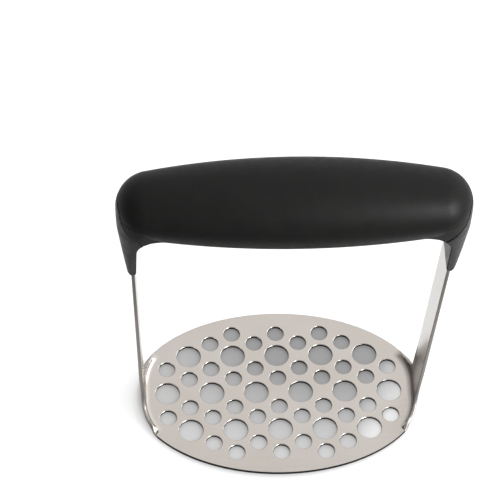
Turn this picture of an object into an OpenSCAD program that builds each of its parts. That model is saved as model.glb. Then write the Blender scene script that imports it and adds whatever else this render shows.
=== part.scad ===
// Potato masher: a perforated oval plate that is turned up at both ends
// into two flat legs, and a soft grip moulded over a hard core whose necks
// hold the legs. The masher stands on its plate: z = 0 is the plate's
// underside, x runs along the grip and y across it.

/* [Plate] */
// Length of the oval that the plate's outline follows
plate_len = 120.6; // [112:0.2:130]
// Width of the plate
plate_w = 77.6; // [72:0.2:90]
// Thickness of the steel sheet
sheet_t = 1.4; // [1:0.1:2]
// Distance between neighbouring holes in a row
hole_pitch = 18.5; // [15:0.1:19]
// Distance between the rows of large holes
row_pitch = 17.9; // [15:0.1:18.5]
// Diameter of the large holes
large_hole_d = 10; // [7:0.1:11]
// Diameter of the small holes
small_hole_d = 6.8; // [4:0.1:7.4]

/* [Legs] */
// Distance between the outer faces of the legs, at the floor
foot_span = 114.4; // [112:0.2:118]
// Angle at which each leg leans outwards
leg_lean = 2.7; // [0:0.1:4]
// Width of each leg
leg_w = 16; // [14:0.5:20]
// Outside radius of the bend between plate and leg
bend_r = 4; // [3:0.1:5]

/* [Ears] */
// Width of the ear's straight middle
ear_flat = 8; // [6:0.5:10]
// Radius, seen from above, of the ear's curved wings
ear_corner_r = 25; // [22:0.5:28]
// Angle through which each wing turns until it lies flat in the plate
ear_angle = 39.5; // [37:0.5:42]
// Height at which a wing's edge meets the leg
wing_h = 7.2; // [6:0.1:9]
// Radius of the corner between wing and leg
flare_r = 3; // [1:0.1:4]
// Height above which the leg is flat across its width
settle_h = 30; // [20:1:60]

/* [Grip] */
// Height of the grip's axis above the floor
grip_axis_h = 139.5; // [125:0.5:160]
// Length of the handle over its ends
handle_len = 136.2; // [130:0.2:145]
// Diameter of the grip at its middle
grip_d = 35.2; // [30:0.2:38]
// Radius of the grip's round ends
grip_end_r = 13.3; // [12:0.1:14.5]
// Wall of the soft sleeve
sleeve_t = 3; // [2:0.1:4]
// Gap between sleeve and core, where the rubber is bonded
bond_gap = 0.15; // [0.1:0.05:0.4]

/* [Necks] */
// Height of the necks' lower tips above the floor
neck_tip_h = 104.6; // [95:0.2:110]
// Wall of the neck on the inner side of the leg, at the tip
neck_wall_in = 0.5; // [0.4:0.1:1]
// Wall of the neck on the outer side of the leg, at the tip
neck_wall_out = 1; // [0.6:0.1:2]
// Wall of the neck beyond each edge of the leg, at the tip
neck_wall_side = 1.1; // [0.8:0.1:2]
// Radius of the fillet between neck and grip
neck_fillet_r = 7; // [4:0.1:9]
// Radius of the heel, where the grip's end turns down into the neck
heel_r = 9; // [8:0.1:11]
// Distance of the heel's middle below the grip's axis
heel_drop = 7.5; // [5:0.1:10]
// Distance of the heel's back from the plane of the handle's end
heel_setback = 0.3; // [0:0.1:1]
// Thickness of the hard end cap behind the sleeve
cap_t = 1.8; // [1.5:0.1:4]
// Height of the end cap's top above the grip's axis
cap_rise = 4; // [2:0.1:5]
// Clearance between a leg and the slot that it is moulded into
slot_gap = 0.1; // [0.05:0.05:0.3]

/* [Tangs] */
// Distance of the tangs' ends below the grip's axis
tang_drop = 7.5; // [3:0.5:12]
// Diameter of the holes that lock each tang into the core
lock_d = 4; // [3:0.5:5]
// Distance of the locking holes below the tang's end
lock_drop = 9.5; // [7:0.5:12]
// Distance between the two locking holes of a tang
lock_pitch = 8; // [6:0.5:9]
// Radius of the tang's corners
tang_corner_r = 2; // [1:0.5:4]

/* [Hidden] */
$fn = 96;
far = 200;

// Rows of holes: [distance from the middle row in row pitches, holes, diameter]
hole_rows = [
    [0, 6, large_hole_d],
    [0.383, 5, small_hole_d],
    [0.655, 6, small_hole_d],
    [1, 5, large_hole_d],
    [1.342, 4, small_hole_d],
    [1.603, 3, small_hole_d],
];

// The bend from plate to leg, and the leg's faces
wall_bend = 90 - leg_lean;
foot_x = foot_span / 2;
bend_x = foot_x - bend_r * (1 - sin(leg_lean)) / cos(leg_lean);
function leg_outer_x(z) = foot_x + z * tan(leg_lean);
function leg_inner_x(z) = leg_outer_x(z) - sheet_t / cos(leg_lean);

// The grip's long arc runs tangent into its round ends
end_x = handle_len / 2 - grip_end_r;
grip_r = grip_d / 2;
grip_arc_r = (end_x * end_x + grip_r * grip_r - grip_end_r * grip_end_r)
    / (2 * (grip_r - grip_end_r));
grip_arc_z = grip_r - grip_arc_r;
arc_end_x = end_x * grip_arc_r / (grip_arc_r - grip_end_r);

// The neck's tip, and the plane behind which the end is hard
tip_in_x = leg_inner_x(neck_tip_h) - slot_gap - neck_wall_in;
tip_out_x = leg_outer_x(neck_tip_h) + slot_gap + neck_wall_out;
tip_r = (tip_out_x - tip_in_x) / 2;
tip_half_w = leg_w / 2 + slot_gap + neck_wall_side;
tip_corner_r = 1.2;
form_skin = 0.1;
tang_h = grip_axis_h - tang_drop;
cap_x = handle_len / 2 - cap_t;
cap_low_z = grip_axis_h - 1.8;
cap_top_z = grip_axis_h + cap_rise;
seam_slope = 45;

function oval(t) = [plate_len / 2 * cos(t), plate_w / 2 * sin(t)];

module both_ends() {
    for (turn = [0, 180]) rotate([0, 0, turn]) children();
}

// A flat outline in x and z, given a thickness w across y
module across(w) {
    translate([0, w / 2, 0]) rotate([90, 0, 0]) linear_extrude(w) children();
}

// An outline in y and z, given a length along x from x0
module along(x0, length) {
    translate([x0, 0, 0]) rotate([90, 0, 90]) linear_extrude(length) children();
}

// ---- Steel blade ----

module holes() {
    for (row = hole_rows) {
        for (side = row[0] == 0 ? [1] : [-1, 1]) {
            for (i = [0 : row[1] - 1]) {
                translate([(i - (row[1] - 1) / 2) * hole_pitch, side * row[0] * row_pitch, -1])
                    cylinder(h = sheet_t + 2, d = row[2]);
            }
        }
    }
}

// A point of the bent sheet's underside, at a length past the start of a bend:
// [distance along the plan, height, slope]
function fold(length, bend) =
    let (
        arc = bend_r * bend * PI / 180,
        slope = length < arc ? length / bend_r * 180 / PI : bend,
        rest = max(length - arc, 0)
    )
    [bend_r * sin(slope) + rest * cos(bend), bend_r * (1 - cos(slope)) + rest * sin(bend), slope];

// Length past the bend's start at which the middle of the sheet has a height
function length_at(height) =
    bend_r * wall_bend * PI / 180 + (height - bend_r * (1 - cos(wall_bend))) / sin(wall_bend);

// Each wing fans out about a corner: the bend starts at a constant radius
corner = [foot_x - ear_corner_r, ear_flat / 2];
start_r = bend_x - corner[0];
leg_reach = length_at(wing_h) + flare_r;
leg_angle = asin((leg_w - ear_flat) / 2 / (start_r + fold(leg_reach, wall_bend)[0]));

// Distance from the corner to the oval, in a direction
function oval_reach(angle) =
    let (
        x = 2 / plate_len * [corner[0], cos(angle)],
        y = 2 / plate_w * [corner[1], sin(angle)],
        a = x[1] * x[1] + y[1] * y[1],
        b = x[0] * x[1] + y[0] * y[1],
        c = x[0] * x[0] + y[0] * y[0] - 1
    )
    (sqrt(b * b - a * c) - b) / a;

// Share of the way along a wing, the bend that is left there, and the free edge
function share(angle) = min(max((angle - leg_angle) / (ear_angle - leg_angle), 0), 1);
function bend_at(angle) = wall_bend * pow(1 - pow(share(angle), 4), 2);
function fillet(x) = flare_r - sqrt(pow(flare_r, 2) - pow(max(flare_r - x, 0), 2));
function reach_at(angle) =
    let (end = oval_reach(ear_angle) - start_r)
    angle > ear_angle ? end - 1
    : end + (length_at(wing_h) - end) * pow(1 - share(angle), 1.5)
        + fillet(max(ear_corner_r * (sin(angle) - sin(leg_angle)), 0));

// The ear is a grid: columns fan from side to side, rows run out from the plate
lap = 1;
leg_cols = 3;
wing_cols = 12;
bend_rows = 8;
settle_rows = 5;
fan = concat(
    [for (k = [0 : leg_cols]) leg_angle * k / leg_cols],
    [for (k = [1 : wing_cols]) leg_angle + (ear_angle - leg_angle) * pow(k / wing_cols, 1.6)],
    [ear_angle + 3]
);
last = len(fan) - 1;
columns = concat([for (k = [last : -1 : 0]) [-1, fan[k]]], [for (k = [0 : last]) [1, fan[k]]]);
ear_rows = bend_rows + 2;
top_row = ear_rows + settle_rows + 1;
settle_from = fold(leg_reach, wall_bend)[1];

// A grid point on a face of the sheet: the underside, or up by its thickness
function ear_point(column, row, up) =
    let (
        side = column[0],
        angle = column[1],
        bend = bend_at(angle),
        reach = reach_at(angle),
        bent = max(bend_r * bend * PI / 180, reach / 2),
        at = row == 0 ? [-lap, 0, 0]
            : fold(row == ear_rows ? reach : bent * (row - 1) / bend_rows, bend),
        r = start_r + at[0] - up * sin(at[2])
    )
    [corner[0] + r * cos(angle), side * (corner[1] + r * sin(angle)), at[1] + up * cos(at[2])];

// Above the ear, the leg flattens out until it is straight across
function leg_point(column, row, up) =
    let (
        foot = ear_point(column, ear_rows, 0),
        share = min((row - ear_rows) / settle_rows, 1),
        z = row == top_row ? tang_h : settle_from + (settle_h - settle_from) * share,
        left = 1 - share * share * (3 - 2 * share),
        turn = column[1] * left
    )
    [
        leg_outer_x(z) - left * (leg_outer_x(foot[2]) - foot[0]) - up * cos(leg_lean) * cos(turn),
        foot[1] - up * column[0] * cos(leg_lean) * sin(turn),
        z + up * sin(leg_lean)
    ];

function in_grid(c, r) =
    c >= 0 && c < len(columns) - 1 && r >= 0
    && (r < ear_rows || r < top_row && max(columns[c][1], columns[c + 1][1]) <= leg_angle);

// One end of the sheet: a lap into the plate, the bend, ear, leg and tang
module sheet_end() {
    points = [
        for (column = columns, row = [0 : top_row], up = [0, sheet_t])
            row <= ear_rows ? ear_point(column, row, up) : leg_point(column, row, up)
    ];
    function at(c, r, face) = 2 * (c * (top_row + 1) + r) + face;
    faces = [
        for (c = [0 : len(columns) - 2], r = [0 : top_row - 1]) if (in_grid(c, r))
            let (
                ring = [[c, r], [c + 1, r], [c + 1, r + 1], [c, r + 1]],
                beyond = [[c, r - 1], [c + 1, r], [c, r + 1], [c - 1, r]],
                under = [for (p = ring) at(p[0], p[1], 0)],
                upper = [for (p = ring) at(p[0], p[1], 1)]
            )
            each concat(
                [[under[0], under[3], under[2]], [under[0], under[2], under[1]]],
                [[upper[0], upper[1], upper[2]], [upper[0], upper[2], upper[3]]],
                [for (k = [0 : 3]) if (!in_grid(beyond[k][0], beyond[k][1]))
                    let (n = (k + 1) % 4)
                    each [[under[k], under[n], upper[n]], [under[k], upper[n], upper[k]]]]
            )
    ];
    polyhedron(points, faces);
}

// The part of the plan in which the sheet is turned up
module ear_plan() {
    bend_start = [for (column = columns) if (column[1] <= ear_angle)
        let (p = ear_point(column, 1, 0)) [p[0], p[1]]];
    spread = far * [cos(ear_angle), sin(ear_angle)];
    polygon(concat(bend_start, [corner + spread, [corner[0] + spread[0], -corner[1] - spread[1]]]));
}

module flat_plate() {
    difference() {
        linear_extrude(sheet_t) difference() {
            polygon([for (t = [0 : 2 : 358]) oval(t)]);
            both_ends() ear_plan();
        }
        holes();
    }
}

module lock_holes(d) {
    for (side = [-1, 1]) {
        translate([0, side * lock_pitch / 2, tang_h - lock_drop])
            rotate([0, 90, 0]) cylinder(h = far, d = d);
    }
}

// Cuts the tang's upper corners round
module tang_corners() {
    for (side = [-1, 1]) difference() {
        along(0, far) translate([side * (leg_w / 2 - tang_corner_r), tang_h - tang_corner_r])
            translate([side > 0 ? 0 : -far, 0]) square([far, far]);
        along(-1, far + 2) translate([side * (leg_w / 2 - tang_corner_r), tang_h - tang_corner_r])
            circle(r = tang_corner_r);
    }
}

module blade() {
    color("silver") difference() {
        union() {
            flat_plate();
            both_ends() sheet_end();
        }
        both_ends() {
            lock_holes(lock_d);
            tang_corners();
        }
    }
}

// ---- Handle ----

// The barrel that the grip is turned to, inset by the given amount
module barrel(inset = 0) {
    translate([0, 0, grip_axis_h]) rotate([0, 90, 0]) rotate_extrude() intersection() {
        translate([0, -far]) square([far, 2 * far]);
        union() {
            intersection() {
                translate([grip_arc_z, 0]) circle(r = grip_arc_r - inset, $fn = 360);
                translate([-far, -arc_end_x]) square([2 * far, 2 * arc_end_x]);
            }
            for (side = [-1, 1]) translate([0, side * end_x]) circle(r = grip_end_r - inset);
        }
    }
}

// Round end of the handle drawn down to the neck's tip
module end_form() {
    hull($fn = 32) {
        for (x = [end_x - neck_fillet_r, end_x])
            translate([x, 0, grip_axis_h]) sphere(r = grip_end_r + form_skin, $fn = 48);
        translate([handle_len / 2 - heel_setback - heel_r, 0, grip_axis_h - heel_drop])
            sphere(r = heel_r + form_skin, $fn = 48);
        for (side = [-1, 1])
            translate([tip_out_x - tip_corner_r, side * (tip_half_w - tip_corner_r), neck_tip_h])
                cylinder(h = tip_r, r = tip_corner_r, $fn = 32);
        translate([end_x - neck_fillet_r, -tip_half_w, neck_tip_h])
            cube([tip_in_x - end_x + neck_fillet_r, 2 * tip_half_w, tip_r]);
    }
}

// The space that the end and its neck fill: beyond the neck's flat inner face
// and its round tip, and in the fillet that is turned about the grip's axis
module end_room() {
    across(far) {
        translate([tip_in_x, neck_tip_h + tip_r]) square([far, far]);
        translate([tip_in_x + tip_r, neck_tip_h + tip_r]) circle(r = tip_r);
    }
    translate([0, 0, grip_axis_h]) rotate([0, 90, 0]) rotate_extrude() difference() {
        translate([0, tip_in_x - neck_fillet_r])
            square([grip_end_r + neck_fillet_r, neck_fillet_r + tip_r]);
        translate([grip_end_r + neck_fillet_r, tip_in_x - neck_fillet_r])
            circle(r = neck_fillet_r);
    }
}

// Side view of the hard end: behind the cap's plane, below the cap's top and
// below the sloping seam
module hard_zone(gap = 0) {
    shift = gap / cos(seam_slope);
    low = cap_low_z + shift - gap * tan(seam_slope);
    run = far * [cos(seam_slope), sin(seam_slope)];
    top = cap_top_z + gap;
    polygon([[cap_x - gap, low], [cap_x - gap, top], [far, top], [far, -far],
        [cap_x - gap - run[0], -far], [cap_x - gap - run[0], low - run[1]]]);
}

// The strip of the core that a leg is moulded into
module leg_solid(gap) {
    intersection() {
        across(leg_w + 2 * gap) translate([foot_x, 0]) rotate(-leg_lean)
            translate([-sheet_t - gap, 0]) square([sheet_t + 2 * gap, far]);
        translate([0, -far / 2, 0]) cube([far, far, tang_h]);
    }
}

module handle_core() {
    color([0.25, 0.25, 0.25]) difference() {
        union() {
            barrel(sleeve_t);
            both_ends() intersection() {
                end_form();
                end_room();
                across(far) hard_zone();
            }
        }
        both_ends() difference() {
            leg_solid(slot_gap);
            lock_holes(lock_d - 2 * slot_gap);
        }
    }
}

module grip_sleeve() {
    color([0.1, 0.1, 0.1]) difference() {
        union() {
            barrel();
            both_ends() intersection() {
                end_form();
                end_room();
            }
        }
        both_ends() {
            across(far) hard_zone(bond_gap);
            leg_solid(slot_gap);
        }
        barrel(sleeve_t - bond_gap);
    }
}

blade();
handle_core();
grip_sleeve();
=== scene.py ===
"""Looks of a potato masher: a folded steel blade under a soft grip on a hard core.

The object's lengths are in millimetres, turned into metres by MM where a mesh is made. The
studio's are in metres.
"""
import math

import bmesh
import bpy
import numpy as np
from mathutils import Matrix, Vector


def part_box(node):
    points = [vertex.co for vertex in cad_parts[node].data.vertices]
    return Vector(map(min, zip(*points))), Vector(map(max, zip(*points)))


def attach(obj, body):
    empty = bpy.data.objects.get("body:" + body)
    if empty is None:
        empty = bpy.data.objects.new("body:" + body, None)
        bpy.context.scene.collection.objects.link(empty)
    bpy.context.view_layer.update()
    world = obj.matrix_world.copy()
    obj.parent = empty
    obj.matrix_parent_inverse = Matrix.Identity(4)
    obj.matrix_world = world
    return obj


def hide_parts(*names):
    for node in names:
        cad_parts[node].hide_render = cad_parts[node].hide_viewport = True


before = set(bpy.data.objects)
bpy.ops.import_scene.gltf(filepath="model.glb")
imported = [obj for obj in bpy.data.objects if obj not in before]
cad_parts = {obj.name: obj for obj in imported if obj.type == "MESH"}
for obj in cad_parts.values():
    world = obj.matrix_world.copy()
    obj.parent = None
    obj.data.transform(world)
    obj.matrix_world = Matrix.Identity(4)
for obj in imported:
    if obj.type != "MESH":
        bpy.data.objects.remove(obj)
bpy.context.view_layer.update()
MM = 0.001

# ---------------------------------------------------------------- sizes
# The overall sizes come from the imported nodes
blade_low, blade_high = (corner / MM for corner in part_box("blade"))
sleeve_low, sleeve_high = (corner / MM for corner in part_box("grip_sleeve"))
core_low, core_high = (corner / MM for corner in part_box("handle_core"))

PLATE_W = blade_high.y - blade_low.y
PLATE_L = 120.6
SHEET = 1.4
RIM = 0.36
HOLE_PITCH = 18.5
ROW_PITCH = 17.9
LARGE_HOLE = 10.0
SMALL_HOLE = 6.8
# (distance from the middle row in row pitches, holes in the row, diameter)
HOLE_ROWS = [
    (0.0, 6, LARGE_HOLE),
    (0.383, 5, SMALL_HOLE),
    (0.655, 6, SMALL_HOLE),
    (1.0, 5, LARGE_HOLE),
    (1.342, 4, SMALL_HOLE),
    (1.603, 3, SMALL_HOLE),
]
# The turned-up ends: bend, ears with their wings, and legs
FOOT_X = 57.2
LEAN = math.radians(2.7)
LEG_W = 16.0
BEND_R = 4.0
EAR_FLAT = 8.0
EAR_R = 25.0
EAR_ANGLE = math.radians(39.5)
WING_H = 7.2
FLARE_R = 3.0
SETTLE_H = 30.0
TANG_H = 132.0

# The handle: grip, neck tips, heels and caps
AXIS_H = 139.5
GRIP_R = 17.6
END_R = 13.3
END_X = core_high.x - END_R
END_DROP = 0.6
TIP_H = 104.6
TIP_IN = 60.13
TIP_OUT = 63.23
TIP_R = (TIP_OUT - TIP_IN) / 2
TIP_HALF_W = 9.2
TIP_CORNER = 1.2
FILLET_R = 6.2
HEEL_R = 9.0
HEEL_DROP = 7.5
CAP_DEPTH = 1.8
CAP_DROP = 1.8
CAP_RISE = 4.0
CAP_X = END_X + END_R - CAP_DEPTH
CAP_LOW = AXIS_H - CAP_DROP
CAP_TOP = AXIS_H + CAP_RISE


# ---------------------------------------------------------------- helpers
def new_object(name, data):
    """An object in the scene, over a mesh, a light or a camera."""
    obj = bpy.data.objects.new(name, data)
    bpy.context.scene.collection.objects.link(obj)
    return obj


def new_piece(name, mesh, node):
    """A visible piece that rides on the body and stands in for one of its nodes."""
    piece = new_object(name, mesh)
    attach(piece, "root")
    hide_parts(node)
    return piece


def smoothstep(x):
    return x * x * (3 - 2 * x)


# ---------------------------------------------------------------- folded sheet
# How the wall's slope dies away along a wing, and how fast the wing's free edge comes down
BEND_HOLD = 4
BEND_FADE = 2
WING_FALL = 1.5

WALL = math.pi / 2 - LEAN
BEND_X = FOOT_X - BEND_R * (1 - math.sin(LEAN)) / math.cos(LEAN)
CORNER = (FOOT_X - EAR_R, EAR_FLAT / 2)
START_R = BEND_X - CORNER[0]


def fold(length, bend):
    """Run in plan, height and slope of the underside, at a length past the bend's start."""
    arc = BEND_R * bend
    slope = length / BEND_R if length < arc else bend
    rest = max(length - arc, 0.0)
    along = BEND_R * math.sin(slope) + rest * math.cos(bend)
    height = BEND_R * (1 - math.cos(slope)) + rest * math.sin(bend)
    return along, height, slope


def length_at(height):
    """Length past the bend's start at which the wall has a height."""
    return BEND_R * WALL + (height - BEND_R * (1 - math.cos(WALL))) / math.sin(WALL)


LEG_REACH = length_at(WING_H) + FLARE_R
LEG_ANGLE = math.asin((LEG_W - EAR_FLAT) / 2 / (START_R + fold(LEG_REACH, WALL)[0]))
SETTLE_FROM = fold(LEG_REACH, WALL)[1]


def oval_reach(angle):
    """Distance from the ear's corner to the oval outline, in a direction."""
    x = (2 / PLATE_L * CORNER[0], 2 / PLATE_L * math.cos(angle))
    y = (2 / PLATE_W * CORNER[1], 2 / PLATE_W * math.sin(angle))
    a = x[1] ** 2 + y[1] ** 2
    b = x[0] * x[1] + y[0] * y[1]
    c = x[0] ** 2 + y[0] ** 2 - 1
    return (math.sqrt(b * b - a * c) - b) / a


WING_END = oval_reach(EAR_ANGLE) - START_R


def share(angle):
    """How far a direction has turned from the leg's edge, 0, to the wing's end, 1."""
    return min(max((angle - LEG_ANGLE) / (EAR_ANGLE - LEG_ANGLE), 0.0), 1.0)


def bend_at(angle):
    """The wall's slope in a direction: upright at the leg, flat at the wing's end."""
    return WALL * (1 - share(angle) ** BEND_HOLD) ** BEND_FADE


def reach_at(angle):
    """Length past the bend's start at which a wing's free edge lies."""
    run = max(EAR_R * (math.sin(angle) - math.sin(LEG_ANGLE)), 0.0)
    fillet = FLARE_R - math.sqrt(FLARE_R**2 - max(FLARE_R - run, 0.0) ** 2)
    fall = (1 - share(angle)) ** WING_FALL
    return WING_END + (length_at(WING_H) - WING_END) * fall + fillet


def ear_point(side, angle, length, up):
    """A point of the ear, up by a share of the sheet's thickness, and the sheet's normal."""
    along, height, slope = fold(length, bend_at(angle))
    radial = Vector((math.cos(angle), side * math.sin(angle), 0))
    normal = Vector((0, 0, math.cos(slope))) - radial * math.sin(slope)
    start = Vector((CORNER[0], side * CORNER[1], height))
    return start + radial * (START_R + along) + normal * up * SHEET, normal


def leg_point(side, angle, level, up):
    """A point of the leg above the ear, where the curve across its width dies away with height."""
    foot, _ = ear_point(side, angle, LEG_REACH, 0)
    z = SETTLE_FROM + (SETTLE_H - SETTLE_FROM) * level if level <= 1 else TANG_H
    left = 1 - smoothstep(min(level, 1.0))
    turn = angle * left
    normal = Vector(
        (
            -math.cos(LEAN) * math.cos(turn),
            -side * math.cos(LEAN) * math.sin(turn),
            math.sin(LEAN),
        )
    )
    line = FOOT_X + z * math.tan(LEAN)
    bulge = FOOT_X + foot.z * math.tan(LEAN) - foot.x
    return Vector((line - left * bulge, foot.y, z)) + normal * up * SHEET, normal


# ---------------------------------------------------------------- steel blade
# Steps of the mesh across and up the turned-up ends, round the holes, the oval and the rim
LEG_COLS = 6
WING_COLS = 36
WING_CROWDING = 1.6
BEND_ROWS = 22
LEAST_BEND_SHARE = 0.6
WALL_ROWS = 3
SETTLE_ROWS = 12
HOLE_STEPS = 64
OVAL_STEP = math.radians(1.0)
RIM_STEPS = 4
MID_SHEET = 0.5
LARGE_FACE_WEIGHT = 90
# The blade's materials, by the number that a face carries
# The sheared edges are near-black: partly the cut metal's own darker tone, partly painted shade
# along the rim and in the holes
POLISHED, SHEARED, DULL = range(3)


def end_grid():
    """Columns and rows of mid-sheet points for one turned-up end, and which cells are sheet."""
    fan = [LEG_ANGLE * k / LEG_COLS for k in range(LEG_COLS + 1)]
    fan += [
        LEG_ANGLE + (EAR_ANGLE - LEG_ANGLE) * (k / WING_COLS) ** WING_CROWDING
        for k in range(1, WING_COLS + 1)
    ]
    columns = [(-1, a) for a in reversed(fan)] + [(1, a) for a in fan]
    ear_rows = BEND_ROWS + WALL_ROWS
    top = ear_rows + SETTLE_ROWS + 1
    points = {}
    for c, (side, angle) in enumerate(columns):
        reach = reach_at(angle)
        bent = max(BEND_R * bend_at(angle), reach * LEAST_BEND_SHARE)
        for r in range(ear_rows + 1):
            if r <= BEND_ROWS:
                length = bent * r / BEND_ROWS
            else:
                length = bent + (reach - bent) * (r - BEND_ROWS) / WALL_ROWS
            points[c, r] = ear_point(side, angle, length, MID_SHEET)
        if angle <= LEG_ANGLE:
            for r in range(ear_rows + 1, top + 1):
                level = (r - ear_rows) / SETTLE_ROWS
                points[c, r] = leg_point(side, angle, level, MID_SHEET)
    cells = {
        (c, r)
        for c in range(len(columns) - 1)
        for r in range(top)
        if all(p in points for p in ((c, r), (c + 1, r), (c + 1, r + 1), (c, r + 1)))
    }
    return columns, points, cells, ear_rows, top


def free_edge(columns, ear_rows, top):
    """Grid points along one end's free edge, from the oval at -y round to the oval at +y."""
    legs = [c for c, (_, angle) in enumerate(columns) if angle <= LEG_ANGLE]
    first, last = legs[0], legs[-1]
    edge = [(c, ear_rows) for c in range(first + 1)]
    edge += [(first, r) for r in range(ear_rows + 1, top + 1)]
    edge += [(c, top) for c in range(first + 1, last + 1)]
    edge += [(last, r) for r in range(top - 1, ear_rows - 1, -1)]
    edge += [(c, ear_rows) for c in range(last + 1, len(columns))]
    return edge


def rim_profile():
    """Rounded cut edge: (in from the edge, up from mid-sheet) pairs, upper face first."""
    steps = [math.pi / 2 * k / RIM_STEPS for k in range(RIM_STEPS + 1)]
    upper = [(RIM * (1 - math.sin(a)), SHEET / 2 - RIM * (1 - math.cos(a))) for a in steps]
    return upper + [(inset, -height) for inset, height in reversed(upper)]


class Sheet:
    """A sheet of even thickness with rounded edges, built on mid-sheet points."""

    def __init__(self):
        self.bm = bmesh.new()
        self.faces = {}
        self.profile = rim_profile()

    def inner(self, key, point, normal):
        """A point away from every edge: one vertex on each face."""
        if key not in self.faces:
            half = normal * SHEET / 2
            self.faces[key] = (
                self.bm.verts.new((point + half) * MM),
                self.bm.verts.new((point - half) * MM),
            )

    def edge_loop(self, keys, points, normals, slot_of):
        """A closed run of edge points, with the sheet on its left seen from above.

        slot_of gives the material of a strip, from its point's key and its row in the profile.
        """
        rings = []
        count = len(keys)
        for k in range(count):
            tangent = (points[(k + 1) % count] - points[k - 1]).normalized()
            outward = tangent.cross(normals[k]).normalized()
            ring = [
                self.bm.verts.new((points[k] - outward * inset + normals[k] * height) * MM)
                for inset, height in self.profile
            ]
            self.faces[keys[k]] = (ring[0], ring[-1])
            rings.append(ring)
        for k in range(count):
            here, there = rings[k], rings[(k + 1) % count]
            for j in range(len(here) - 1):
                face = self.bm.faces.new((here[j], here[j + 1], there[j + 1], there[j]))
                face.material_index = slot_of(keys[k], j)

    def quad(self, keys):
        """A cell between four points that run anticlockwise seen from above."""
        upper = [self.faces[key][0] for key in keys]
        under = [self.faces[key][1] for key in keys]
        self.bm.faces.new(upper)
        self.bm.faces.new(list(reversed(under)))

    def fill(self, loops):
        """The flat part between closed runs of points: triangles on both faces."""
        flat = bmesh.new()
        copies = {}
        for loop in loops:
            for key in loop:
                if key not in copies:
                    copies[key] = flat.verts.new(self.faces[key][0].co)
            for k in range(len(loop)):
                flat.edges.new((copies[loop[k - 1]], copies[loop[k]]))
        keys = {vert: key for key, vert in copies.items()}
        bmesh.ops.triangle_fill(flat, use_beauty=True, edges=flat.edges[:], normal=(0, 0, 1))
        for face in flat.faces:
            corners = [keys[vert] for vert in face.verts]
            if face.normal.z < 0:
                corners.reverse()
            self.quad(corners)
        flat.free()


def outline_slot(key, row):
    """The outer edge: a polished corner, then sheared along the oval, near-black partly by painted
    shade, and dull at the ends.
    """
    if row == 0:
        return POLISHED
    return SHEARED if key[0] == "oval" else DULL


def hole_slot(key, row):
    """A hole's edge: polished round its upper corner, then sheared, near-black partly by painted
    shade.
    """
    return SHEARED if row >= RIM_STEPS - 1 else POLISHED


def build_blade():
    sheet = Sheet()
    columns, points, cells, ear_rows, top = end_grid()
    edge = free_edge(columns, ear_rows, top)
    turned = [(1, Matrix.Identity(3)), (-1, Matrix.Rotation(math.pi, 3, "Z"))]

    # The outline: one free edge at each end, joined by the oval's long sides
    end_at = points[edge[-1]][0]
    start_t = math.atan2(end_at.y / PLATE_W, end_at.x / PLATE_L)
    steps = round((math.pi - 2 * start_t) / OVAL_STEP)
    outline = []
    flat_loop = []
    for end, turn in turned:
        for c, r in edge:
            point, normal = points[c, r]
            outline.append(((end, c, r), turn @ point, turn @ normal))
        last = len(columns) - 1
        flat_loop += [(end, 0, r) for r in range(ear_rows, 0, -1)]
        flat_loop += [(end, c, 0) for c in range(last + 1)]
        flat_loop += [(end, last, r) for r in range(1, ear_rows + 1)]
        for k in range(1, steps):
            t = start_t + (math.pi - 2 * start_t) * k / steps
            rim_point = Vector((PLATE_L / 2 * math.cos(t), PLATE_W / 2 * math.sin(t), SHEET / 2))
            outline.append((("oval", end, k), turn @ rim_point, Vector((0, 0, 1))))
            flat_loop.append(("oval", end, k))
    sheet.edge_loop(*zip(*outline), outline_slot)

    # The turned-up ends
    for end, turn in turned:
        for (c, r), (point, normal) in points.items():
            sheet.inner((end, c, r), turn @ point, turn @ normal)
        for c, r in cells:
            sheet.quad([(end, c, r), (end, c, r + 1), (end, c + 1, r + 1), (end, c + 1, r)])

    # The holes, each a run that leaves the sheet on its left
    loops = [flat_loop]
    up = Vector((0, 0, 1))
    for offset, count, width in HOLE_ROWS:
        for side in (1,) if offset == 0 else (-1, 1):
            for i in range(count):
                along = (i - (count - 1) / 2) * HOLE_PITCH
                at = Vector((along, side * offset * ROW_PITCH, SHEET / 2))
                keys = [("hole", offset, side, i, k) for k in range(HOLE_STEPS)]
                turns = [-2 * math.pi * k / HOLE_STEPS for k in range(HOLE_STEPS)]
                ring = [at + Vector((math.cos(a), math.sin(a), 0)) * width / 2 for a in turns]
                sheet.edge_loop(keys, ring, [up] * HOLE_STEPS, hole_slot)
                loops.append(keys)
    sheet.fill(loops)

    mesh = bpy.data.meshes.new("blade_sheet")
    sheet.bm.normal_update()
    sheet.bm.to_mesh(mesh)
    sheet.bm.free()
    mesh.shade_smooth()
    blade = new_piece("blade_sheet", mesh, "blade")
    weighted = blade.modifiers.new("flat_faces_stay_flat", "WEIGHTED_NORMAL")
    weighted.weight = LARGE_FACE_WEIGHT
    return blade


# ---------------------------------------------------------------- handle
# The handle is a distance field, negative inside, on the quarter where x and y are positive.

# The surface net's grid, and how the net is evened out and drawn onto the surface
GRID = 0.48
NET_MARGIN = 2 * GRID
SLOPE_STEP = 0.02
EVEN_ROUNDS = 4
DRAW_ROUNDS = 2
EVEN_SHARE = 0.5
LEAST_SLOPE = 0.25
# The groove between sleeve and core, and the core's tongue under it
SEAM = 0.42
SEAM_R = 0.25
SEAM_DEPTH = 0.9
SEAM_CURVE = 2.5
CAP_CURVE = 3.0
TONGUE = 1.1
# The necks, and the stretch of the grip over which their fillet takes its saddle shape
EDGE_R = 0.45
HEEL_SETBACK = 0.35
CORNER_GROWTH = 1.3
SADDLE_FROM = 49.0
SADDLE_TO = 59.0
SADDLE_SPREAD = 0.82

ARC_R = (END_X**2 + GRIP_R**2 - END_R**2) / (2 * (GRIP_R - END_R))
ARC_Z = GRIP_R - ARC_R
NECK_H = AXIS_H - TIP_H


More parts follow.
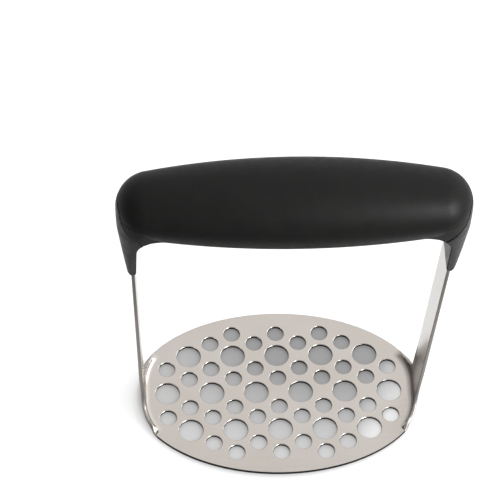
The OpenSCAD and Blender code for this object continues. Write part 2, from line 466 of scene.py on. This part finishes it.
def tangent_lean(reach, drop, radius):
    """Slope of the line that starts at a tip and touches a circle: reach across, drop down."""
    spread = math.hypot(reach, drop)
    return math.tan(math.asin(radius / spread) - math.asin(reach / spread))


# The neck's side walls lean in from the round end's sides to the tip, and its back from the heel
SIDE_LEAN = tangent_lean(TIP_HALF_W, NECK_H, END_R)
HEEL_X = END_X + END_R - HEEL_R - HEEL_SETBACK
HEEL_Z = AXIS_H - HEEL_DROP
BACK_LEAN = tangent_lean(TIP_OUT - HEEL_X, HEEL_Z - TIP_H, HEEL_R)


def round_inside(a, b, radius):
    """Where both solids are: their shared edge is rounded off."""
    return np.minimum(-radius, np.maximum(a, b)) + np.hypot(
        np.maximum(a + radius, 0), np.maximum(b + radius, 0)
    )


def round_joined(a, b, radius):
    """Where either solid is: their inner corner is filleted."""
    return -round_inside(-a, -b, radius)


def barrel_field(x, rho):
    """The turned grip: an arc of the barrel, then a round end."""
    over_end = x * -ARC_Z > END_X * (rho - ARC_Z)
    arc = np.hypot(x, rho - ARC_Z) - ARC_R
    end = np.hypot(x - END_X, rho) - END_R
    return np.where(over_end, end, arc)


def neck_field(x, y, z):
    """The neck's outer walls: in plan a half oblong whose corners grow rounder upwards."""
    up = z - TIP_H
    curve = HEEL_X + np.sqrt(np.maximum(HEEL_R**2 - np.minimum(z - HEEL_Z, 0) ** 2, 0))
    touch = HEEL_Z - HEEL_R * math.sin(math.atan(BACK_LEAN))
    outer = np.where(z < touch, TIP_OUT + BACK_LEAN * up, curve)
    rise = np.clip((z - HEEL_Z) / HEEL_DROP, 0, 1)
    outer = outer + HEEL_SETBACK * rise * (2 - rise)
    half_w = np.minimum(TIP_HALF_W + SIDE_LEAN * up, END_R)
    corner = TIP_CORNER + (END_R - TIP_CORNER) * np.clip(up / NECK_H, 0, 1) ** CORNER_GROWTH
    across = x - outer + corner
    aside = y - half_w + corner
    plan = np.hypot(np.maximum(across, 0), np.maximum(aside, 0)) - corner
    plan += np.minimum(np.maximum(across, aside), 0)
    return np.maximum(plan, z - AXIS_H)


def outer_field(x, y, z):
    """The handle's outside: the drooping grip, joined to the necks under its ends."""
    lift = z - AXIS_H + END_DROP * (x / END_X) ** 2
    barrel = barrel_field(x, np.hypot(y, lift))
    saddle = smoothstep(np.clip((x - SADDLE_FROM) / (SADDLE_TO - SADDLE_FROM), 0, 1))
    under = barrel_field(x, np.hypot(y * (1 - (1 - SADDLE_SPREAD) * saddle), lift))
    span = round_joined(under, TIP_IN - x, FILLET_R)
    round_h = TIP_H + TIP_R
    tip = np.hypot(x - TIP_IN - TIP_R, z - round_h) - TIP_R
    span = np.where(z < round_h, np.maximum(span, tip), span)
    end = round_inside(span, neck_field(x, y, z), EDGE_R)
    return np.minimum(barrel, end)


def seam_field(x, z):
    """Distance from the hard end: behind the cap's plane, or below the sloping seam."""
    slope = (CAP_X - CAP_LOW + z - x) / math.sqrt(2)
    behind = round_joined(CAP_X - x, slope, SEAM_CURVE)
    return round_inside(behind, z - CAP_TOP, CAP_CURVE)


def sleeve_field(x, y, z):
    """The soft grip: what lies on the near side of the seam's groove."""
    return round_inside(outer_field(x, y, z), SEAM / 2 - seam_field(x, z), SEAM_R)


def core_field(x, y, z):
    """The hard necks and caps, with a tongue that closes the groove from below."""
    outer = outer_field(x, y, z)
    seam = seam_field(x, z)
    shell = round_inside(outer, seam + SEAM / 2, SEAM_R)
    tongue = np.maximum(outer + SEAM_DEPTH, seam - TONGUE)
    return np.minimum(shell, tongue)


def folded(field):
    """The field over the whole handle, from the quarter that it is written for."""
    return lambda p: field(np.abs(p[..., 0]), np.abs(p[..., 1]), p[..., 2])


def slope_of(field, points):
    slopes = [
        field(points + SLOPE_STEP * axis) - field(points - SLOPE_STEP * axis)
        for axis in np.eye(3)
    ]
    return np.stack(slopes, -1) / (2 * SLOPE_STEP)


def net_over(field, low, high, grid):
    """Surface net: a vertex in each cell that the surface crosses, a quad per crossed edge."""
    counts = [int(math.ceil((high[k] - low[k]) / grid)) + 1 for k in range(3)]
    lines = [low[k] + grid * np.arange(counts[k]) for k in range(3)]
    nodes = np.stack(np.meshgrid(*lines, indexing="ij"), -1)
    value = field(nodes)
    inside = value < 0
    shape = tuple(n - 1 for n in counts)
    total = np.zeros(shape + (3,))
    hits = np.zeros(shape)
    crossed = []
    for axis in range(3):
        here = [slice(None)] * 3
        there = [slice(None)] * 3
        here[axis], there[axis] = slice(0, -1), slice(1, None)
        a, b = value[tuple(here)], value[tuple(there)]
        change = inside[tuple(here)] != inside[tuple(there)]
        crossed.append(change)
        part = np.where(change, a / np.where(a == b, 1, a - b), 0)
        at = nodes[tuple(here)] + part[..., None] * grid * np.eye(3)[axis]
        others = [k for k in range(3) if k != axis]
        for da in (0, 1):
            for db in (0, 1):
                pick = [slice(None)] * 3
                pick[others[0]] = slice(da, shape[others[0]] + da)
                pick[others[1]] = slice(db, shape[others[1]] + db)
                pick = tuple(pick)
                total += np.where(change[pick][..., None], at[pick], 0)
                hits += change[pick]
    used = hits > 0
    index = np.full(shape, -1)
    index[used] = np.arange(used.sum())
    points = total[used] / hits[used][:, None]
    quads = []
    for axis in range(3):
        b, c = (axis + 1) % 3, (axis + 2) % 3
        cells = np.argwhere(crossed[axis])
        flip = inside[tuple(cells.T)]
        corners = []
        for db, dc in ((0, 0), (1, 0), (1, 1), (0, 1)):
            cell = cells.copy()
            cell[:, b] -= db
            cell[:, c] -= dc
            corners.append(index[tuple(cell.T)])
        quad = np.stack(corners, -1)
        quad[~flip] = quad[~flip][:, ::-1]
        quads.append(quad)
    return points, np.concatenate(quads)


def settle(field, points, quads):
    """Evens the net out and draws it onto the surface."""
    sides = np.concatenate([quads[:, [k, (k + 1) % 4]] for k in range(4)])
    count = np.bincount(sides[:, 0], minlength=len(points))[:, None]
    for step in range(EVEN_ROUNDS + DRAW_ROUNDS):
        if step < EVEN_ROUNDS:
            mean = np.zeros_like(points)
            np.add.at(mean, sides[:, 0], points[sides[:, 1]])
            points = points + EVEN_SHARE * (mean / count - points)
        slope = slope_of(field, points)
        length = np.maximum((slope**2).sum(-1), LEAST_SLOPE)
        points = points - (field(points) / length)[:, None] * slope
    return points


def build_moulding(name, field, node, material):
    whole = folded(field)
    low = [min(core_low[k], sleeve_low[k]) - NET_MARGIN for k in range(3)]
    high = [max(core_high[k], sleeve_high[k]) + NET_MARGIN for k in range(3)]
    points, quads = net_over(whole, low, high, GRID)
    points = settle(whole, points, quads)
    normals = slope_of(whole, points)
    normals /= np.linalg.norm(normals, axis=-1, keepdims=True)
    mesh = bpy.data.meshes.new(name)
    mesh.from_pydata((points * MM).tolist(), [], quads.tolist())
    mesh.validate()
    mesh.shade_smooth()
    mesh.normals_split_custom_set_from_vertices(normals.tolist())
    mesh.materials.append(material)
    new_piece(name, mesh, node)


# ---------------------------------------------------------------- materials
# Noise seldom leaves this range, so a ramp over it uses its whole length
NOISE_RANGE = (0.3, 0.7)

STEEL_TINT = (0.285, 0.262, 0.238), (0.33, 0.309, 0.292)
STEEL_ROUGH = (0.12, 0.22)
STEEL_CLOUDS = dict(scale=38, detail=2)
STEEL_SCRATCHES = dict(scale=900, detail=6, roughness=0.65, stretch=(0.06, 1, 1))
STEEL_WAVES = dict(scale=45, detail=2)
STEEL_BUMP = (0.12, 0.0004)

CUT_ROUGH = (0.32, 0.5)
CUT_GRAIN = dict(scale=700, detail=4, roughness=0.6, stretch=(1, 1, 0.12))
CUT_BUMP = (0.3, 0.00008)
# Near-black: partly the cut metal's own darker tone, partly painted shade
SHEARED_TINT_WITH_PAINTED_SHADE = (0.002, 0.0019, 0.0018), (0.01, 0.0092, 0.0084)
DULL_TINT = (0.18, 0.168, 0.157), (0.24, 0.225, 0.212)

RUBBER_TINT = (0.004, 0.004, 0.0039), (0.0068, 0.0067, 0.0064)
RUBBER_ROUGH = (0.4, 0.5)
RUBBER_SPECULAR = 0.08
RUBBER_NOISES = dict(scale=140, detail=5), dict(scale=300, detail=4), dict(scale=2600, detail=3)
RUBBER_BUMP = (0.25, 0.00006)

PLASTIC_TINT = (0.006, 0.006, 0.0061), (0.0095, 0.0095, 0.0097)
PLASTIC_ROUGH = (0.36, 0.5)
PLASTIC_SPECULAR = 0.17
PLASTIC_NOISES = dict(scale=120, detail=4), dict(scale=500, detail=4), dict(scale=3800, detail=2)
PLASTIC_BUMP = (0.3, 0.00005)


def shader(name):
    material = bpy.data.materials.new(name)
    material.use_nodes = True
    tree = material.node_tree
    return material, tree, tree.nodes["Principled BSDF"]


def noise(tree, scale, detail, roughness=0.5, stretch=(1, 1, 1)):
    """Noise in object coordinates, stretched to make brushing or scratches."""
    coords = tree.nodes.new("ShaderNodeTexCoord")
    mapping = tree.nodes.new("ShaderNodeMapping")
    mapping.inputs["Scale"].default_value = stretch
    made = tree.nodes.new("ShaderNodeTexNoise")
    made.inputs["Scale"].default_value = scale
    made.inputs["Detail"].default_value = detail
    made.inputs["Roughness"].default_value = roughness
    tree.links.new(coords.outputs["Object"], mapping.inputs["Vector"])
    tree.links.new(mapping.outputs["Vector"], made.inputs["Vector"])
    return made.outputs["Fac"]


def ramp(tree, factor, low, high, start, end):
    """Maps a factor from [start, end] to [low, high], and holds it there."""
    made = tree.nodes.new("ShaderNodeMapRange")
    made.inputs["From Min"].default_value = start
    made.inputs["From Max"].default_value = end
    made.inputs["To Min"].default_value = low
    made.inputs["To Max"].default_value = high
    tree.links.new(factor, made.inputs["Value"])
    return made.outputs["Result"]


def mix_colour(tree, factor, low, high):
    made = tree.nodes.new("ShaderNodeMix")
    made.data_type = "RGBA"
    made.inputs[6].default_value = (*low, 1)
    made.inputs[7].default_value = (*high, 1)
    tree.links.new(factor, made.inputs[0])
    return made.outputs[2]


def dress(tree, bsdf, tint, rough, bump, tint_noise, rough_noise, bump_noise):
    """Lets one noise drive the colour, one the roughness and one the fine relief."""
    strength, distance = bump
    made = tree.nodes.new("ShaderNodeBump")
    made.inputs["Strength"].default_value = strength
    made.inputs["Distance"].default_value = distance
    tree.links.new(bump_noise, made.inputs["Height"])
    tree.links.new(made.outputs["Normal"], bsdf.inputs["Normal"])
    tree.links.new(mix_colour(tree, tint_noise, *tint), bsdf.inputs["Base Color"])
    roughness = ramp(tree, rough_noise, *rough, *NOISE_RANGE)
    tree.links.new(roughness, bsdf.inputs["Roughness"])


def steel():
    material, tree, bsdf = shader("polished_stainless")
    bsdf.inputs["Metallic"].default_value = 1.0
    noises = [noise(tree, **kind) for kind in (STEEL_CLOUDS, STEEL_SCRATCHES, STEEL_WAVES)]
    dress(tree, bsdf, STEEL_TINT, STEEL_ROUGH, STEEL_BUMP, *noises)
    return material


def cut_edge(name, tint):
    """The metal where the sheet is cut: the plate's rim, its holes, and the legs' edges. The
    sheared tint is partly painted shade.
    """
    material, tree, bsdf = shader(name)
    bsdf.inputs["Metallic"].default_value = 1.0
    grain = noise(tree, **CUT_GRAIN)
    dress(tree, bsdf, tint, CUT_ROUGH, CUT_BUMP, grain, grain, grain)
    return material


def moulding(name, tint, rough, specular, bump, noises):
    """A dark moulded polymer."""
    material, tree, bsdf = shader(name)
    bsdf.inputs["Specular IOR Level"].default_value = specular
    dress(tree, bsdf, tint, rough, bump, *(noise(tree, **kind) for kind in noises))
    return material


# ---------------------------------------------------------------- studio
# The photograph's view, in metres and degrees, found from the lattice of holes
CAMERA_AT = Vector((-0.07996, -0.65718, 1.0867))
CAMERA_AZIMUTH, CAMERA_ELEVATION, CAMERA_ROLL = (math.radians(a) for a in (5.570, 56.0, 3.836))
CAMERA_LENS = 219.18
SENSOR_W = 36
CAMERA_REACH = 20

SKY_MEAN = 1.15
SKY_SLOPE = (0.85, 0.6, 0.5)

FLOOR_HALF_W = 6.0
FLOOR = 0.6
FLOOR_ROUGH = 0.9
FLOOR_SPECULAR = 0.1
# The floor's painted shade and light are measured in half plates, so that the plate's outline is
# at 1.
# Each ramp runs from one share of the floor's white to another, between two distances. The painted
# shade under the plate lightens towards its right front end, as painted light, and gives way to
# the painted contact shadow beside its front rim between the first pair of distances below.
PAINTED_SHADE_ENDS = (0.95, 0.985)
PAINTED_SHADE_CENTRE = (0.3, 0.7, 0)
PAINTED_SHADE_UNDER_PLATE = (0.2, 0.55, 0.1, 1.5)
PAINTED_LIGHT_TOWARDS = (1, -0.35, 0)
PAINTED_LIGHT_UNDER_PLATE = (0.3, 0.72, 0.55, 0.85)
PAINTED_SHADOW_CENTRE = (0, -0.08, 0)
PAINTED_SHADOW_BESIDE_PLATE = (0.68, 1.0, 0.92, 1.02)

CARD_NEAR = 0.07
CARD_FAR = 2.07
CARD_HALF_W = 2.0
CARD_H = 0.002
CARD_TINT = (0.01, 0.01, 0.01, 1)

KEY_AT = (0.37, -0.34, 0.29)
KEY_SIZE = (0.28, 0.26)
KEY_POWER = 5.6
KEY_AIM = (0.03, 0, 0.14)
PANEL_AT = (0.95, 0.1, 0.5)
PANEL_SIZE = (0.9, 0.7)
PANEL_POWER = 9
PANEL_AIM = (0, 0, 0.06)


def add_camera():
    ahead = Vector(
        (
            math.sin(CAMERA_AZIMUTH) * math.cos(CAMERA_ELEVATION),
            math.cos(CAMERA_AZIMUTH) * math.cos(CAMERA_ELEVATION),
            -math.sin(CAMERA_ELEVATION),
        )
    )
    level = Vector((math.cos(CAMERA_AZIMUTH), -math.sin(CAMERA_AZIMUTH), 0))
    upright = level.cross(ahead)
    right = level * math.cos(CAMERA_ROLL) + upright * math.sin(CAMERA_ROLL)
    top = upright * math.cos(CAMERA_ROLL) - level * math.sin(CAMERA_ROLL)
    turned = Matrix((right, top, -ahead)).transposed().to_4x4()
    data = bpy.data.cameras.new("photo_view")
    data.sensor_width = SENSOR_W
    data.lens = CAMERA_LENS
    data.clip_end = CAMERA_REACH
    camera = new_object("photo_view", data)
    camera.matrix_world = Matrix.Translation(CAMERA_AT) @ turned
    bpy.context.scene.camera = camera


def add_area(name, at, size, power, aim):
    data = bpy.data.lights.new(name, "AREA")
    data.shape = "RECTANGLE"
    data.size, data.size_y = size
    data.energy = power
    light = new_object(name, data)
    light.location = at
    light.rotation_euler = (Vector(at) - Vector(aim)).to_track_quat("Z", "Y").to_euler()
    return light


def add_sheet(name, corners, material):
    """A flat piece of the studio, which isn't part of the object."""
    mesh = bpy.data.meshes.new(name)
    mesh.from_pydata(corners, [], [(0, 1, 2, 3)])
    mesh.materials.append(material)
    sheet = new_object(name, mesh)
    return sheet


def floor_with_painted_shade():
    """White, with painted shade under the plate's back, painted light towards its right front end,
    and a little painted shadow beside its front rim.
    """
    material, tree, bsdf = shader("paper_white_with_painted_shade")
    coords = tree.nodes.new("ShaderNodeTexCoord")
    place = tree.nodes.new("ShaderNodeMapping")
    place.vector_type = "POINT"
    place.inputs["Scale"].default_value = (2 / (PLATE_L * MM), 2 / (PLATE_W * MM), 0)
    tree.links.new(coords.outputs["Object"], place.inputs["Vector"])

    def measure(operation, other, steps):
        """The place's distance to a point or its dot product with a direction, then a ramp."""
        made = tree.nodes.new("ShaderNodeVectorMath")
        made.operation = operation
        made.inputs[1].default_value = other
        tree.links.new(place.outputs["Vector"], made.inputs[0])
        return ramp(tree, made.outputs["Value"], *steps)

    # Painted shade under the plate, lightened by painted light towards its right front end
    under = tree.nodes.new("ShaderNodeMath")
    under.operation = "MAXIMUM"
    tree.links.new(measure("DISTANCE", PAINTED_SHADE_CENTRE, PAINTED_SHADE_UNDER_PLATE), under.inputs[0])
    tree.links.new(measure("DOT_PRODUCT", PAINTED_LIGHT_TOWARDS, PAINTED_LIGHT_UNDER_PLATE), under.inputs[1])
    shade = measure("DISTANCE", (0, 0, 0), (0, 1, *PAINTED_SHADE_ENDS))
    tree.links.new(under.outputs["Value"], shade.node.inputs["To Min"])
    # Painted contact shadow on the floor beside the plate's front rim
    beside = measure("DISTANCE", PAINTED_SHADOW_CENTRE, PAINTED_SHADOW_BESIDE_PLATE)
    tree.links.new(beside, shade.node.inputs["To Max"])
    colour = mix_colour(tree, shade, (0, 0, 0), (FLOOR, FLOOR, FLOOR))
    tree.links.new(colour, bsdf.inputs["Base Color"])
    bsdf.inputs["Roughness"].default_value = FLOOR_ROUGH
    bsdf.inputs["Specular IOR Level"].default_value = FLOOR_SPECULAR
    return material


def add_floor():
    reach = FLOOR_HALF_W
    corners = [(-reach, -reach, 0), (reach, -reach, 0), (reach, reach, 0), (-reach, reach, 0)]
    add_sheet("studio_floor", corners, floor_with_painted_shade())


def add_card():
    """A dark card on the floor in front, which only reflections show."""
    material, _, bsdf = shader("black_card")
    bsdf.inputs["Base Color"].default_value = CARD_TINT
    places = (-1, CARD_FAR), (1, CARD_FAR), (1, CARD_NEAR), (-1, CARD_NEAR)
    corners = [(side * CARD_HALF_W, -ahead, CARD_H) for side, ahead in places]
    card = add_sheet("dark_flag", corners, material)
    card.visible_camera = card.visible_diffuse = card.visible_shadow = False


def add_world():
    """Soft light that grows towards the right, the back and the zenith."""
    world = bpy.data.worlds.new("studio")
    world.use_nodes = True
    tree = world.node_tree
    coords = tree.nodes.new("ShaderNodeTexCoord")
    lean = tree.nodes.new("ShaderNodeVectorMath")
    lean.operation = "DOT_PRODUCT"
    lean.inputs[1].default_value = SKY_SLOPE
    total = tree.nodes.new("ShaderNodeMath")
    total.operation = "ADD"
    total.inputs[1].default_value = SKY_MEAN
    tree.links.new(coords.outputs["Generated"], lean.inputs[0])
    tree.links.new(lean.outputs["Value"], total.inputs[0])
    tree.links.new(total.outputs["Value"], tree.nodes["Background"].inputs["Strength"])
    tree.nodes["Background"].inputs["Color"].default_value = (1, 1, 1, 1)
    bpy.context.scene.world = world


# ---------------------------------------------------------------- scene
add_camera()
add_world()
add_floor()
add_card()
# The key casts no shadow, so that the floor stays evenly white
key = add_area("key_right", KEY_AT, KEY_SIZE, KEY_POWER, KEY_AIM)
key.data.use_shadow = False
panel = add_area("panel_right", PANEL_AT, PANEL_SIZE, PANEL_POWER, PANEL_AIM)
panel.visible_diffuse = False

blade = build_blade()
# In the order of POLISHED, SHEARED and DULL
blade.data.materials.append(steel())
# The sheared edges' near-black is partly their own darker tone and partly painted shade
blade.data.materials.append(cut_edge("sheared_edge_with_painted_shade", SHEARED_TINT_WITH_PAINTED_SHADE))
blade.data.materials.append(cut_edge("leg_edge", DULL_TINT))
# The panel shows in the steel alone, so that the grip doesn't shine from the left
panel.light_linking.receiver_collection = bpy.data.collections.new("lit_by_panel")
panel.light_linking.receiver_collection.objects.link(blade)

core_plastic = moulding(
    "moulded_core", PLASTIC_TINT, PLASTIC_ROUGH, PLASTIC_SPECULAR, PLASTIC_BUMP, PLASTIC_NOISES
)
grip_rubber = moulding(
    "soft_grip", RUBBER_TINT, RUBBER_ROUGH, RUBBER_SPECULAR, RUBBER_BUMP, RUBBER_NOISES
)
build_moulding("moulded_necks", core_field, "handle_core", core_plastic)
build_moulding("soft_sleeve", sleeve_field, "grip_sleeve", grip_rubber)
bpy.context.scene.view_settings.view_transform = "Standard"

bpy.context.view_layer.update()
